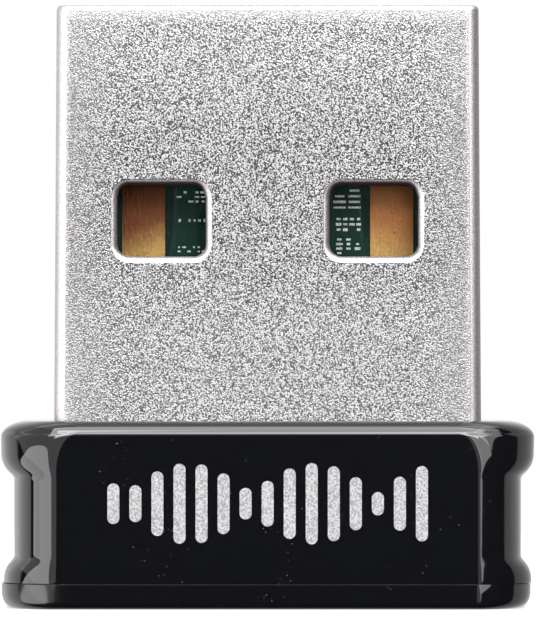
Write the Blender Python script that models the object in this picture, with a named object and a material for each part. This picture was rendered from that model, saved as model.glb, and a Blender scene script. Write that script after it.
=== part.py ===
"""A miniature wireless adapter: a type-A plug with a folded steel shell, in a short gloss housing.

The part stands on its end cap with the plug pointing up, +Z. The contact side, which is also the
side that carries the print, faces -Y. The origin is in the middle of the end cap's outer face.
Lengths are metres, written as millimetres times MM.
"""

import math

import bmesh
import bpy
from mathutils import Vector

MM = 0.001
FIT = 0.02 * MM  # gap left between faces that touch on the real object

# Plug shell, a folded sheet. Its width is taken halfway up the plug.
PLUG_WIDTH = 12.0 * MM
PLUG_DEPTH = 4.5 * MM
PLUG_REACH = 11.74 * MM  # from the housing's shoulder to the tip
PLUG_ROOT = 1.9 * MM  # the length that the housing holds
PLUG_FLARE = 0.07 * MM  # how far each side wall leans out between the tip and the shoulder
PLUG_CORNER = 0.35 * MM
SHEET = 0.3 * MM
MOUTH_ROUND = 0.14 * MM
MOUTH_LEAD = 0.08 * MM
WINDOW_WIDTH = 2.5 * MM
WINDOW_HEIGHT = 2.0 * MM
WINDOW_PITCH = 6.0 * MM
WINDOW_FROM_TIP = 5.1 * MM
WINDOW_CORNER = 0.35 * MM
WINDOW_ROLL = 0.2 * MM  # radius of the punched edge
SEAM_GAP = 0.06 * MM
DOVETAIL_REACH = 1.1 * MM
DOVETAIL_ROOT = 1.0 * MM
DOVETAIL_HEAD = 1.6 * MM
UPPER_DOVETAIL = 3.0 * MM  # from the tip to the middle of each dovetail
LOWER_DOVETAIL = 9.3 * MM
TAB_WIDTH = 1.8 * MM
TAB_LENGTH = 1.2 * MM
TAB_OFFSET = 0.2 * MM  # towards the back, from the middle of the side wall

# Housing, a moulding with rounded ends and a waist to grip
LEDGE_WIDTH = 1.565 * MM  # how far the housing stands out past the plug at each end
LEDGE_DEPTH = 1.3 * MM  # and in front and behind
HOUSING_HEIGHT = 4.6 * MM
HOUSING_DRAFT = 0.09 * MM  # how much narrower each side is at the bottom
END_RUN = 1.62 * MM  # width of the rounding at each end, past the flat front
END_ROUND = 2.1 * MM  # depth of the same rounding
EDGE_ROUND = 0.42 * MM  # front and back upper edges
SHOULDER_DROP = 0.48 * MM  # the rounder upper corners at the ends
SHOULDER_RUN = 0.85 * MM
GRIP_DEPTH = 0.385 * MM  # from the housing's widest place
GRIP_FROM_TOP = 1.575 * MM  # from the shoulder to the waist's upper corner
GRIP_FROM_BOTTOM = 0.71 * MM
GRIP_FLANK = 0.62 * MM  # height of the round above and below the waist
CAVITY_ROOM_X = 0.14 * MM  # between the plug's root and the inside of the housing
CAVITY_ROOM_Y = 0.4 * MM
CAVITY_CORNER = 0.5 * MM
CEILING = 1.1 * MM
SLOT_LEAD = 0.06 * MM

# End cap
CAP_THICKNESS = 0.705 * MM
CAP_ROUND = 0.22 * MM  # front and back lower edges
CAP_END_RISE = 0.45 * MM  # the rounder lower corners at the ends
CAP_END_RUN = 0.33 * MM
CAP_OVERHANG = 0.02 * MM  # how far each end stands out past the body
CAP_SHIFT = -0.04 * MM  # the cap sits a little to one side of the body
SKIRT_GAP = 0.66 * MM  # from the skirt's upper edge to the shell's tabs
SKIRT_WALL = 0.45 * MM
POST_WIDTH = 1.0 * MM
POST_DEPTH = 2.4 * MM
POST_HEIGHT = 1.3 * MM

# Circuit board, whose face lies in the plug's middle plane, in a moulded carrier behind it
BOARD_THICKNESS = 0.8 * MM
RAIL_WIDTH = 0.4 * MM  # of the carrier, on each side of the board
BOARD_TIP_GAP = 1.0 * MM  # from the plug's tip
BOARD_FOOT_GAP = 0.35 * MM  # from the cap's inner face
BOARD_CORNER = 0.25 * MM
NOSE_GAP = 0.32 * MM  # from the plug's tip to the carrier's nose
NOSE_BREAK = 0.3 * MM
LIP_THICKNESS = 0.25 * MM
LIP_REACH = 0.26 * MM
POCKET_SIDE = 0.6 * MM  # from the board's edge
POCKET_END = 1.1 * MM  # from the board's upper edge, and from the carrier's lower end
TRAY_FLOOR = 0.23 * MM  # behind the pocket
POCKET_CORNER = 0.4 * MM
CLOSING_WALL = 0.9 * MM
NUB_HEIGHT = 0.2 * MM
NUB_GAP = 0.08 * MM

# Contacts and the antenna, plated on the board's face
PAD_WIDTH = 1.22 * MM
PAD_THICKNESS = 0.05 * MM
OUTER_PAD_INSET = 1.77 * MM  # from the board's side to the pad's middle
INNER_PAD_PITCH = 2.0 * MM
PAD_FOOT = 3.5 * MM  # above the shoulder
OUTER_PAD_MARGIN = 0.45 * MM  # from the board's upper edge
INNER_PAD_MARGIN = 1.45 * MM
TRACE_WIDTH = 0.28 * MM
TRACE_PITCH = 0.62 * MM
TRACE_TURNS = 5
TRACE_MARGIN = 0.25 * MM
FEED_LENGTH = 0.65 * MM

# Solder that ties the shell's tabs to the board
BEAD_RADIUS = 0.4 * MM
BEAD_LENGTH = 0.9 * MM

# Parts on the back of the board
CHIP_SIZE = 4.6 * MM
CHIP_HEADROOM = 0.14 * MM  # between the taller parts and the tray's floor
CHIP_BREAK = 0.12 * MM
LEAD_COUNT = 8
LEAD_WIDTH = 0.22 * MM
LEAD_PITCH = 0.5 * MM
LEAD_REACH = 0.06 * MM
LEAD_HEIGHT = 0.2 * MM
CRYSTAL_LENGTH = 2.5 * MM
CRYSTAL_WIDTH = 2.0 * MM
CRYSTAL_HEADROOM = 0.32 * MM
CRYSTAL_RIM = 0.14 * MM
CRYSTAL_CORNER = 0.3 * MM
SMALL_LENGTH = 1.0 * MM  # small capacitors and resistors
SMALL_WIDTH = 0.5 * MM
CAPACITOR_HEADROOM = 0.38 * MM
RESISTOR_HEIGHT = 0.35 * MM
LARGE_LENGTH = 1.6 * MM
LARGE_WIDTH = 0.8 * MM
TERMINAL_LENGTH = 0.22 * MM
TERMINAL_RISE = 0.02 * MM
PART_GAP = 0.25 * MM  # between neighbouring parts
CAPACITOR_PITCH = 1.5 * MM
CRYSTAL_OFFSET = 2.2 * MM  # to the left of the middle
ROW_MARGIN = 1.1 * MM  # from the pocket's right side to the middle of the row's last part
ROW_PITCH = 1.35 * MM

# Sizes, heights and depths that follow from those above
HOUSING_WIDTH = PLUG_WIDTH + 2 * LEDGE_WIDTH
HOUSING_DEPTH = PLUG_DEPTH + 2 * LEDGE_DEPTH
ROOT_WIDTH = PLUG_WIDTH + PLUG_FLARE
BOARD_WIDTH = PLUG_WIDTH - 2 * (SHEET + RAIL_WIDTH)
EAR_WIDTH = ROOT_WIDTH - 2 * (SHEET + FIT)
GRIP_HEIGHT = HOUSING_HEIGHT - GRIP_FROM_TOP - GRIP_FROM_BOTTOM
BODY_Z = CAP_THICKNESS
SHOULDER_Z = BODY_Z + HOUSING_HEIGHT
TIP_Z = SHOULDER_Z + PLUG_REACH
ROOT_Z = SHOULDER_Z - PLUG_ROOT
CEILING_Z = SHOULDER_Z - CEILING
WINDOW_Z = TIP_Z - WINDOW_FROM_TIP - WINDOW_HEIGHT / 2
BOARD_Z = BODY_Z + BOARD_FOOT_GAP
BOARD_TOP_Z = TIP_Z - BOARD_TIP_GAP
BOARD_Y = 0.0
BOARD_BACK_Y = BOARD_Y + BOARD_THICKNESS
TRAY_Y = PLUG_DEPTH / 2 - SHEET - FIT - TRAY_FLOOR
POCKET_X = BOARD_WIDTH / 2 - POCKET_SIDE
POCKET_LOW_Z = ROOT_Z + POCKET_END
POCKET_HIGH_Z = BOARD_TOP_Z - POCKET_END
CHIP_HEIGHT = TRAY_Y - CHIP_HEADROOM - BOARD_BACK_Y - FIT
CRYSTAL_HEIGHT = TRAY_Y - CRYSTAL_HEADROOM - BOARD_BACK_Y - FIT
CAPACITOR_HEIGHT = TRAY_Y - CAPACITOR_HEADROOM - BOARD_BACK_Y - FIT
SKIRT_HEIGHT = ROOT_Z - TAB_LENGTH - SKIRT_GAP - BODY_Z
CAVITY_X = ROOT_WIDTH / 2 + CAVITY_ROOM_X
CAVITY_Y = PLUG_DEPTH / 2 + CAVITY_ROOM_Y
POST_X = EAR_WIDTH / 2 - POST_WIDTH
CORNER_STEPS = 7


def material(name, colour, roughness, metallic):
    """A Principled material with one colour."""
    made = bpy.data.materials.new(name)
    made.use_nodes = True
    shader = made.node_tree.nodes["Principled BSDF"]
    shader.inputs["Base Color"].default_value = (*colour, 1.0)
    shader.inputs["Roughness"].default_value = roughness
    shader.inputs["Metallic"].default_value = metallic
    return made


def new_object(name, bm, finish, sharp_angle=35.0):
    """Turn a bmesh into a named object with outward faces and smooth round surfaces."""
    bmesh.ops.recalc_face_normals(bm, faces=bm.faces[:])
    mesh = bpy.data.meshes.new(name)
    bm.to_mesh(mesh)
    bm.free()
    mesh.shade_smooth()
    mesh.set_sharp_from_angle(angle=math.radians(sharp_angle))
    mesh.materials.append(finish)
    made = bpy.data.objects.new(name, mesh)
    bpy.context.scene.collection.objects.link(made)
    return made


def shape(target, tool, operation):
    """Cut a tool object from the target, or join it on, with a live Boolean modifier."""
    tool.hide_render = True
    tool.display_type = "WIRE"
    modifier = target.modifiers.new(tool.name, "BOOLEAN")
    modifier.solver = "EXACT"
    modifier.operation = operation
    modifier.object = tool


def rounded_rectangle(half_u, half_v, radius, steps=CORNER_STEPS, stops=()):
    """Outline of a rectangle with round corners, with extra points on both sides at the stops."""
    points = []
    quarter = math.pi / 2
    for turn, (u, v) in enumerate(((1, -1), (1, 1), (-1, 1), (-1, -1))):
        centre = Vector((u * (half_u - radius), v * (half_v - radius)))
        for step in range(steps):
            angle = (turn - 1) * quarter + quarter * step / (steps - 1)
            points.append(centre + radius * Vector((math.cos(angle), math.sin(angle))))
        if turn == 0:
            points += [Vector((half_u, stop)) for stop in stops]
        if turn == 2:
            points += [Vector((-half_u, stop)) for stop in reversed(stops)]
    return points


def level(outline, z):
    """Lift a flat outline to a height."""
    return [Vector((point.x, point.y, z)) for point in outline]


def upright(outline, y, x=0.0, z=0.0):
    """Stand an outline upright in a plane of constant Y."""
    return [Vector((x + point.x, y, z + point.y)) for point in outline]


def loft(rings, ring_closed=False):
    """Skin rings with the same number of points, with flat ends or joined into a loop of rings."""
    bm = bmesh.new()
    loops = [[bm.verts.new(point) for point in ring] for ring in rings]
    pairs = list(zip(loops, loops[1:]))
    if ring_closed:
        pairs.append((loops[-1], loops[0]))
    else:
        bm.faces.new(loops[0])
        bm.faces.new(loops[-1])
    for low, high in pairs:
        count = len(low)
        for i in range(count):
            j = (i + 1) % count
            bm.faces.new((low[i], low[j], high[j], high[i]))
    return bm


def box(low, high):
    """An axis-aligned block between two corners."""
    x0, y0, z0 = low
    x1, y1, z1 = high
    outline = [Vector((x0, y0)), Vector((x1, y0)), Vector((x1, y1)), Vector((x0, y1))]
    return loft([level(outline, z0), level(outline, z1)])


def thickened(path, width):
    """Outline of a strip of constant width that follows a path, with mitred corners."""
    left, right = [], []
    for i, point in enumerate(path):
        before = (point - path[i - 1]).normalized() if i else None
        after = (path[i + 1] - point).normalized() if i < len(path) - 1 else None
        before = before or after
        after = after or before
        mitre = (before + after).normalized()
        normal = Vector((-mitre.y, mitre.x))
        reach = width / 2 / normal.dot(Vector((-before.y, before.x)))
        left.append(point + normal * reach)
        right.append(point - normal * reach)
    return left + right[::-1]


def arc_steps(count):
    """Angles from 0 to a quarter turn."""
    return [math.pi / 2 * i / count for i in range(count + 1)]


def plug_flare(z):
    """How far a side wall of the plug stands out from its nominal place at a height."""
    return PLUG_FLARE * ((SHOULDER_Z + TIP_Z) / 2 - max(z, SHOULDER_Z)) / PLUG_REACH


def plug_outline(z, inset):
    """The plug's outline at a height, moved in by an inset."""
    half_x = PLUG_WIDTH / 2 + plug_flare(z) - inset
    half_y = PLUG_DEPTH / 2 - inset
    middle = TAB_OFFSET
    stops = (middle - TAB_WIDTH / 2, middle + TAB_WIDTH / 2)
    return rounded_rectangle(half_x, half_y, PLUG_CORNER - min(inset, SHEET), stops=stops)


def window_cutter(name, x, side, finish):
    """A punch whose skirt leaves a rounded edge on the outside of the sheet."""
    surface = PLUG_DEPTH / 2
    stations = [(0.0, surface - 2 * SHEET)]
    for angle in (0.0, 25.0, 50.0, 75.0):
        turn = math.radians(angle)
        grow = WINDOW_ROLL * (1 - math.cos(turn))
        stations.append((grow, surface - WINDOW_ROLL * (1 - math.sin(turn))))
    grow, depth = stations[-1]
    rise = surface + WINDOW_ROLL / 2 - depth
    stations.append((grow + rise * math.tan(math.radians(75.0)), depth + rise))
    rings = []
    for grow, y in stations:
        outline = rounded_rectangle(
            WINDOW_WIDTH / 2 + grow, WINDOW_HEIGHT / 2 + grow, WINDOW_CORNER + grow, steps=5
        )
        rings.append(upright(outline, side * y, x, WINDOW_Z))
    return new_object(name, loft(rings), finish)


def seam_cutter(finish):
    """The slit where the folded sheet meets itself, with interlocking dovetails."""
    path = [Vector((0, ROOT_Z - TAB_LENGTH))]
    reach = DOVETAIL_REACH
    for z in (TIP_Z - LOWER_DOVETAIL, TIP_Z - UPPER_DOVETAIL):
        path += [Vector((0, z - DOVETAIL_ROOT / 2)), Vector((reach, z - DOVETAIL_HEAD / 2))]
        path += [Vector((reach, z + DOVETAIL_HEAD / 2)), Vector((0, z + DOVETAIL_ROOT / 2))]
        reach = -reach
    path.append(Vector((0, TIP_Z + SHEET)))
    outline = thickened(path, SEAM_GAP)
    inside, outside = PLUG_DEPTH / 2 - 2 * SHEET, PLUG_DEPTH / 2 + SHEET
    return new_object("seam_cutter", loft([upright(outline, inside), upright(outline, outside)]), finish)


def metal_shell(finish):
    """The plug's shell: a folded sheet with a coined mouth, four windows, a seam and two tabs."""
    rings = [level(plug_outline(z, 0.0), z) for z in (ROOT_Z, SHOULDER_Z)]
    for angle in arc_steps(3):
        z = TIP_Z - MOUTH_ROUND * (1 - math.sin(angle))
        rings.append(level(plug_outline(z, MOUTH_ROUND * (1 - math.cos(angle))), z))
    rings.append(level(plug_outline(TIP_Z, SHEET - MOUTH_LEAD), TIP_Z))
    rings += [level(plug_outline(z, SHEET), z) for z in (TIP_Z - MOUTH_LEAD, SHOULDER_Z, ROOT_Z)]
    bm = loft(rings, ring_closed=True)
    add_tabs(bm)
    shell = new_object("metal_shell", bm, finish)
    for row, side in (("front", -1), ("back", 1)):
        for hand, x in (("left", -WINDOW_PITCH / 2), ("right", WINDOW_PITCH / 2)):
            shape(shell, window_cutter(f"{row}_{hand}_window_cutter", x, side, finish), "DIFFERENCE")
    shape(shell, seam_cutter(finish), "DIFFERENCE")
    return shell


def add_tabs(bm):
    """Draw the two solder tabs down from the shell's lower edge."""
    bmesh.ops.recalc_face_normals(bm, faces=bm.faces[:])
    edge_faces = []
    for face in bm.faces:
        centre = face.calc_center_median()
        at_edge = abs(centre.z - ROOT_Z) < MM / 100 and abs(face.normal.z) > 0.9
        if at_edge and abs(centre.x) > PLUG_WIDTH / 2 - SHEET and abs(centre.y - TAB_OFFSET) < MM / 100:
            edge_faces.append(face)
    drawn = bmesh.ops.extrude_discrete_faces(bm, faces=edge_faces)["faces"]
    corners = {vert for face in drawn for vert in face.verts}
    bmesh.ops.translate(bm, verts=list(corners), vec=(0, 0, -TAB_LENGTH))


def waist_share(z):
    """Share of the waist's depth at a height: all in the middle, with a round above and below it."""
    middle = SHOULDER_Z - GRIP_FROM_TOP - GRIP_HEIGHT / 2
    past = abs(z - middle) - GRIP_HEIGHT / 2
    if past <= 0:
        return 1.0
    rest = max(GRIP_FLANK - past, 0.0)
    radius = (GRIP_FLANK**2 + GRIP_DEPTH**2) / (2 * GRIP_DEPTH)
    return (radius - math.sqrt(radius**2 - rest**2)) / GRIP_DEPTH


def housing_outline(z, inset_x=0.0, inset_y=0.0):
    """The housing's outline at a height: flat panels with rounded ends that follow the waist.
    The sides have draft, and the waist's floor has none."""
    draft = HOUSING_DRAFT * (SHOULDER_Z - z) / HOUSING_HEIGHT
    share = waist_share(z)
    half_x = HOUSING_WIDTH / 2 - draft * (1 - share) - GRIP_DEPTH * share - inset_x
    half_y = HOUSING_DEPTH / 2 - inset_y
    panel = HOUSING_WIDTH / 2 - END_RUN
    points = []
    for sign_x, sign_y in ((1, -1), (1, 1), (-1, 1), (-1, -1)):
        corner = []
        for angle in arc_steps(CORNER_STEPS + 1):
            x = panel + (half_x - panel) * math.sin(angle)
            y = half_y - END_ROUND * (1 - math.cos(angle))
            corner.append(Vector((sign_x * x, sign_y * y)))
        points += corner if sign_x * sign_y < 0 else corner[::-1]
    return points


def matching_rectangle(half_x, half_y, radius):
    """A rounded rectangle with as many points as the housing's outline."""
    return rounded_rectangle(half_x, half_y, radius, steps=CORNER_STEPS + 2)


def housing_stations():
    """Heights of the housing's rings, closer together where the surface turns."""
    lower = SHOULDER_Z - GRIP_FROM_TOP - GRIP_HEIGHT
    upper = SHOULDER_Z - GRIP_FROM_TOP
    heights = [BODY_Z + FIT]
    heights += [lower - GRIP_FLANK * math.cos(angle) for angle in arc_steps(5)]
    heights += [upper + GRIP_FLANK * math.sin(angle) for angle in arc_steps(5)]
    return heights


def edge_inset(distance, radius):
    """How far a round edge draws a wall in, at a distance from the flat that it leads to."""
    share = 1 - min(distance / radius, 1.0)
    return radius * (1 - math.sqrt(1 - share**2))


def housing_body(finish):
    """The moulded body: waisted ends, a soft upper edge, a slot for the plug and an open bottom."""
    rings = [level(housing_outline(z), z) for z in housing_stations()]
    for angle in arc_steps(6):
        drop = SHOULDER_DROP * (1 - math.sin(angle))
        z = SHOULDER_Z - drop
        inset_x = SHOULDER_RUN * (1 - math.cos(angle))
        rings.append(level(housing_outline(z, inset_x, edge_inset(drop, EDGE_ROUND)), z))
    slot_x = PLUG_WIDTH / 2 + plug_flare(SHOULDER_Z) + FIT
    slot_y = PLUG_DEPTH / 2 + FIT
    wide = matching_rectangle(slot_x + SLOT_LEAD, slot_y + SLOT_LEAD, PLUG_CORNER + FIT + SLOT_LEAD)
    slot = matching_rectangle(slot_x, slot_y, PLUG_CORNER + FIT)
    rings += [level(wide, SHOULDER_Z), level(slot, SHOULDER_Z - SLOT_LEAD), level(slot, CEILING_Z)]
    cavity = matching_rectangle(CAVITY_X, CAVITY_Y, CAVITY_CORNER)
    rings += [level(cavity, CEILING_Z), level(cavity, BODY_Z + FIT)]
    return new_object("housing_body", loft(rings, ring_closed=True), finish)


def end_cap(finish):
    """The cap: a plate with a soft outer edge, a skirt that enters the body, and two posts."""
    rings = []
    for angle in arc_steps(6):
        z = CAP_END_RISE * (1 - math.cos(angle))
        inset_x = CAP_END_RUN * (1 - math.sin(angle)) - CAP_OVERHANG
        rings.append(level(housing_outline(z, inset_x, edge_inset(z, CAP_ROUND)), z))
    rings.append(level(housing_outline(BODY_Z, -CAP_OVERHANG), BODY_Z))
    shift = Vector((CAP_SHIFT, 0, 0))
    rings = [[point + shift for point in ring] for ring in rings]
    skirt_x, skirt_y = CAVITY_X - FIT, CAVITY_Y - FIT
    outer = matching_rectangle(skirt_x, skirt_y, CAVITY_CORNER - FIT)
    inner = matching_rectangle(skirt_x - SKIRT_WALL, skirt_y - SKIRT_WALL, SKIRT_WALL / 4)
    top = BODY_Z + SKIRT_HEIGHT
    rings += [level(outer, BODY_Z), level(outer, top), level(inner, top), level(inner, BODY_Z)]
    cap = new_object("end_cap", loft(rings), finish)
    groove = BOARD_THICKNESS + 2 * FIT
    middle = (BOARD_Y + BOARD_BACK_Y) / 2
    for hand, x in (("left", -POST_X), ("right", POST_X)):
        half = POST_WIDTH / 2
        foot = (x - half, middle - POST_DEPTH / 2, BODY_Z / 2)
        head = (x + half, middle + POST_DEPTH / 2, BODY_Z + POST_HEIGHT)
        shape(cap, new_object(f"{hand}_post", box(foot, head), finish), "UNION")
        low = (x - POST_WIDTH, middle - groove / 2, BOARD_Z - FIT)
        high = (x + POST_WIDTH, middle + groove / 2, BODY_Z + 2 * POST_HEIGHT)
        shape(cap, new_object(f"{hand}_post_groove", box(low, high), finish), "DIFFERENCE")
    return cap


def carrier_block(finish):
    """The carrier before it is hollowed: it fills the back of the shell, with a bevelled nose."""
    front = BOARD_Y - LIP_THICKNESS - FIT
    rings = []
    for z, inset in (
        (ROOT_Z + FIT, 0.0),
        (SHOULDER_Z, 0.0),
        (TIP_Z - NOSE_GAP - NOSE_BREAK, 0.0),
        (TIP_Z - NOSE_GAP, NOSE_BREAK),
    ):
        half_x = PLUG_WIDTH / 2 + plug_flare(z) - SHEET - FIT - inset
        back = PLUG_DEPTH / 2 - SHEET - FIT - inset / 2
        middle, half_y = (front + inset + back) / 2, (back - front - inset) / 2
        outline = rounded_rectangle(half_x, half_y, PLUG_CORNER - SHEET - FIT, steps=4)
        rings.append([point + Vector((0, middle, 0)) for point in level(outline, z)])
    return new_object("board_carrier", loft(rings), finish)


def board_carrier(finish):
    """The moulded tray: a groove that the board slides up into, a wall that closes the shell's
    lower end, a pocket for the parts, and two nubs that snap into the back windows."""
    carrier = carrier_block(finish)
    front = -PLUG_DEPTH / 2 + SHEET + FIT
    middle, half_y = (front + BOARD_BACK_Y) / 2, (BOARD_BACK_Y - front) / 2
    outline = rounded_rectangle(PLUG_WIDTH / 2 - SHEET - FIT, half_y, PLUG_CORNER - SHEET - FIT, steps=4)
    outline = [point + Vector((0, middle)) for point in outline]
    closing_wall = loft([level(outline, ROOT_Z + FIT), level(outline, ROOT_Z + CLOSING_WALL)])
    shape(carrier, new_object("closing_wall", closing_wall, finish), "UNION")
    below = ROOT_Z - MM
    half = BOARD_WIDTH / 2 + FIT
    groove = box((-half, BOARD_Y - FIT, below), (half, BOARD_BACK_Y + FIT, BOARD_TOP_Z + FIT))
    shape(carrier, new_object("board_groove", groove, finish), "DIFFERENCE")
    half = BOARD_WIDTH / 2 - LIP_REACH
    face = box((-half, BOARD_Y - MM, ROOT_Z + CLOSING_WALL), (half, BOARD_Y, BOARD_TOP_Z + FIT))
    shape(carrier, new_object("contact_opening", face, finish), "DIFFERENCE")
    middle, half = (POCKET_LOW_Z + POCKET_HIGH_Z) / 2, (POCKET_HIGH_Z - POCKET_LOW_Z) / 2
    outline = rounded_rectangle(POCKET_X, half, POCKET_CORNER, steps=4)
    rings = [upright(outline, y, 0, middle) for y in (BOARD_Y, TRAY_Y)]
    shape(carrier, new_object("parts_pocket", loft(rings), finish), "DIFFERENCE")
    inner = PLUG_DEPTH / 2 - SHEET
    outline = rounded_rectangle(
        WINDOW_WIDTH / 2 - NUB_GAP, WINDOW_HEIGHT / 2 - NUB_GAP, WINDOW_CORNER - NUB_GAP, steps=4
    )
    for hand, x in (("left", -WINDOW_PITCH / 2), ("right", WINDOW_PITCH / 2)):
        rings = [upright(outline, y, x, WINDOW_Z) for y in (inner - SHEET / 2, inner + NUB_HEIGHT)]
        shape(carrier, new_object(f"{hand}_nub", loft(rings), finish), "UNION")
    return carrier


def plate(name, outline, front, back, finish):
    """A flat piece cut to an upright outline."""
    return new_object(name, loft([upright(outline, front), upright(outline, back)]), finish)


def circuit_board(finish):
    """The board: a tongue in the shell, and two ears below it that stop against the carrier."""
    tongue, ear = BOARD_WIDTH / 2, EAR_WIDTH / 2
    corner = BOARD_CORNER
    half = [(ear - corner, BOARD_Z), (ear, BOARD_Z + corner), (ear, ROOT_Z), (tongue, ROOT_Z)]
    half += [(tongue, BOARD_TOP_Z - corner), (tongue - corner, BOARD_TOP_Z)]
    right = [Vector(point) for point in half]
    left = [Vector((-x, z)) for x, z in reversed(half)]
    return plate("circuit_board", right + left, BOARD_Y, BOARD_BACK_Y, finish)


def contacts(finish):
    """Four plated contacts. The outer two are longer, so that power meets first."""
    outer = BOARD_WIDTH / 2 - OUTER_PAD_INSET
    layout = (
        ("contact_supply", -outer, OUTER_PAD_MARGIN),
        ("contact_data_minus", -INNER_PAD_PITCH / 2, INNER_PAD_MARGIN),
        ("contact_data_plus", INNER_PAD_PITCH / 2, INNER_PAD_MARGIN),
        ("contact_ground", outer, OUTER_PAD_MARGIN),
    )
    for name, x, margin in layout:
        low, high = SHOULDER_Z + PAD_FOOT, BOARD_TOP_Z - margin
        outline = rounded_rectangle(PAD_WIDTH / 2, (high - low) / 2, PAD_WIDTH / 6, steps=4)
        placed = [point + Vector((x, (low + high) / 2)) for point in outline]
        plate(name, placed, BOARD_Y - FIT - PAD_THICKNESS, BOARD_Y - FIT, finish)


def trace_antenna(finish):
    """The antenna: one copper trace that goes up and down along the board's foot, and its feed."""
    low = BOARD_Z + TRACE_MARGIN + TRACE_WIDTH / 2
    high = ROOT_Z - FEED_LENGTH
    x = -TRACE_TURNS * TRACE_PITCH
    path = [Vector((x, low))]
    for turn in range(2 * TRACE_TURNS):
        up = turn % 2 == 0
        path.append(Vector((x, high if up else low)))
        x += TRACE_PITCH
        path.append(Vector((x, high if up else low)))
    path.append(Vector((x, ROOT_Z)))
    outline = thickened(path, TRACE_WIDTH)
    return plate("trace_antenna", outline, BOARD_Y - FIT - PAD_THICKNESS, BOARD_Y - FIT, finish)


def shell_solder(name, side, finish):
    """A bead of solder in the corner between the board's face and a tab of the shell."""
    wall = PLUG_WIDTH / 2 + plug_flare(ROOT_Z) - SHEET - FIT
    face = BOARD_Y - FIT
    section = [Vector((side * wall, face))]
    for angle in arc_steps(4):
        x = side * (wall - BEAD_RADIUS * (1 - 0.75 * math.sin(angle)))
        section.append(Vector((x, face - BEAD_RADIUS * (1 - math.cos(angle)) - FIT)))
    section.append(Vector((side * wall, face - BEAD_RADIUS - FIT)))
    middle = ROOT_Z - TAB_LENGTH / 2
    rings = [level(section, middle + half * BEAD_LENGTH / 2) for half in (-1, 1)]
    return new_object(name, loft(rings), finish)


def radio_chip(x, z, finish):
    """A flat square chip with a row of leads along each side of its base."""
    half = CHIP_SIZE / 2
    shoulder = CHIP_HEIGHT - CHIP_BREAK
    rings = []
    for height, inset in ((LEAD_HEIGHT / 2, 0.0), (shoulder, 0.0), (CHIP_HEIGHT, CHIP_BREAK)):
        outline = rounded_rectangle(half - inset, half - inset, CHIP_BREAK, steps=3)
        rings.append(upright(outline, height))
    chip = new_object("radio_chip", loft(rings), finish)
    chip.location = (x, BOARD_BACK_Y + FIT, z)
    lead_row = toothed_outline(half)
    lead_block = loft([upright(lead_row, height) for height in (0.0, LEAD_HEIGHT)])
    leads = new_object("radio_chip_leads", lead_block, finish)
    leads.location = chip.location
    shape(chip, leads, "UNION")
    return chip


def toothed_outline(half):
    """A square outline with a row of small teeth on each side."""
    base = half - LEAD_REACH
    side = [Vector((base, -base))]
    for lead in range(LEAD_COUNT):
        middle = (lead - (LEAD_COUNT - 1) / 2) * LEAD_PITCH
        low, high = middle - LEAD_WIDTH / 2, middle + LEAD_WIDTH / 2
        tooth = ((base, low), (half + LEAD_REACH, low), (half + LEAD_REACH, high), (base, high))
        side += [Vector(point) for point in tooth]
    points = []
    for turn in range(4):
        cos, sin = round(math.cos(turn * math.pi / 2)), round(math.sin(turn * math.pi / 2))
        points += [Vector((p.x * cos - p.y * sin, p.x * sin + p.y * cos)) for p in side]
    return points


def crystal(x, z, finish):
    """The clock crystal: a ceramic base with a smaller metal lid."""
    rings = []
    base = CRYSTAL_HEIGHT / 3
    for height, inset in ((0.0, 0.0), (base, 0.0), (base, CRYSTAL_RIM), (CRYSTAL_HEIGHT, CRYSTAL_RIM)):
        outline = rounded_rectangle(
            CRYSTAL_LENGTH / 2 - inset, CRYSTAL_WIDTH / 2 - inset, CRYSTAL_CORNER - inset, steps=4
        )
        rings.append(upright(outline, height))
    can = new_object("crystal", loft(rings), finish)
    can.location = (x, BOARD_BACK_Y + FIT, z)
    return can


def chip_mesh(length, width, height):
    """A two-ended chip part: a ceramic body between two slightly larger metal ends."""
    half, end = length / 2, length / 2 - TERMINAL_LENGTH
    rings = []
    for x, inset in ((-half, 0), (-end, 0), (-end, 1), (end, 1), (end, 0), (half, 0)):
        step = inset * TERMINAL_RISE
        z, low, high = width / 2 - step, step, height - step
        rings.append([Vector((x, low, -z)), Vector((x, high, -z)), Vector((x, high, z)), Vector((x, low, z))])
    return loft(rings)


def place_chips(names, size, places, finish):
    """Copies of one chip part on the back of the board, each turned to stand or lie."""
    shared = None
    for name, (x, z, upended) in zip(names, places):
        if shared is None:
            first = new_object(name, chip_mesh(*size), finish)
            shared = first.data
            made = first
        else:
            made = bpy.data.objects.new(name, shared)
            bpy.context.scene.collection.objects.link(made)
        made.location = (x, BOARD_BACK_Y + FIT, z)
        made.rotation_euler = (0, math.pi / 2 if upended else 0, 0)


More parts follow.
